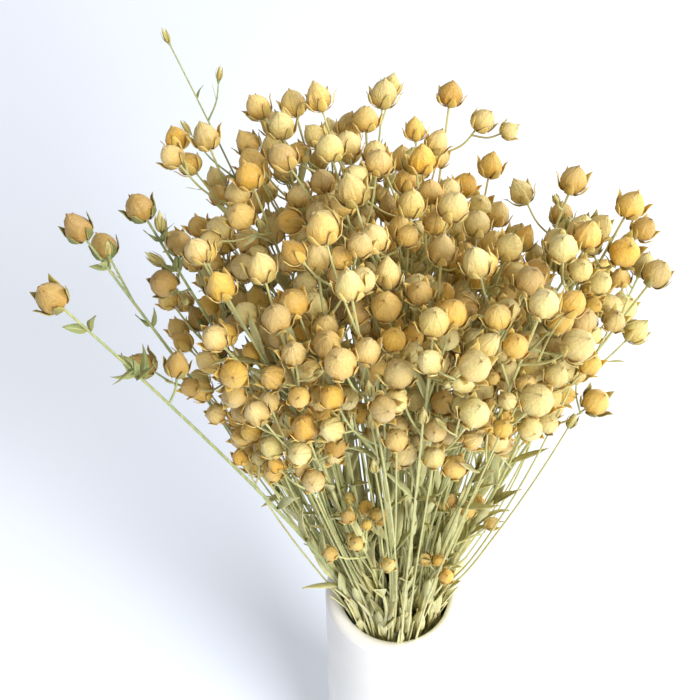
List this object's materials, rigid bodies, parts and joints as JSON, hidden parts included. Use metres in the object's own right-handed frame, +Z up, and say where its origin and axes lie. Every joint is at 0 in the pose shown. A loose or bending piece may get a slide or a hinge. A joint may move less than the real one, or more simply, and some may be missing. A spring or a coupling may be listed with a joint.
{
  "type": "vase of dried flax seed heads",
  "caption": "Plain white cylindrical ceramic vase holding a loose, fanned bunch of dried flax stems with round seed capsules and narrow leaves.",
  "frame": {"origin": "middle of the vase's flat base", "axes": "+Z up along the vase, -Y towards the picture's camera, +X to its right"},
  "size_m": [0.178, 0.1438, 0.4563],
  "materials": {
    "white_glaze": "satin white glaze",
    "dried_flax": "matte, papery, straw gold seed capsules on sage green stalks"
  },
  "bodies": {
    "root": {"vase": "white_glaze", "stem_01": "dried_flax", "stem_02": "dried_flax", "stem_03": "dried_flax", "stem_04": "dried_flax", "stem_05": "dried_flax", "stem_06": "dried_flax", "stem_07": "dried_flax", "stem_08": "dried_flax", "stem_09": "dried_flax", "stem_10": "dried_flax", "stem_11": "dried_flax", "stem_12": "dried_flax", "stem_13": "dried_flax", "stem_14": "dried_flax", "stem_15": "dried_flax", "stem_16": "dried_flax", "stem_17": "dried_flax", "stem_18": "dried_flax", "stem_19": "dried_flax", "stem_20": "dried_flax", "stem_21": "dried_flax", "stem_22": "dried_flax", "stem_23": "dried_flax", "stem_24": "dried_flax", "stem_25": "dried_flax", "stem_26": "dried_flax", "stem_27": "dried_flax", "stem_28": "dried_flax", "stem_29": "dried_flax", "stem_30": "dried_flax", "stem_31": "dried_flax", "stem_32": "dried_flax", "stem_33": "dried_flax", "stem_34": "dried_flax", "stem_35": "dried_flax", "stem_36": "dried_flax", "stem_37": "dried_flax", "stem_38": "dried_flax", "stem_39": "dried_flax", "stem_40": "dried_flax", "stem_41": "dried_flax", "stem_42": "dried_flax", "stem_43": "dried_flax", "stem_44": "dried_flax", "stem_45": "dried_flax"}
  },
  "joints": []
}
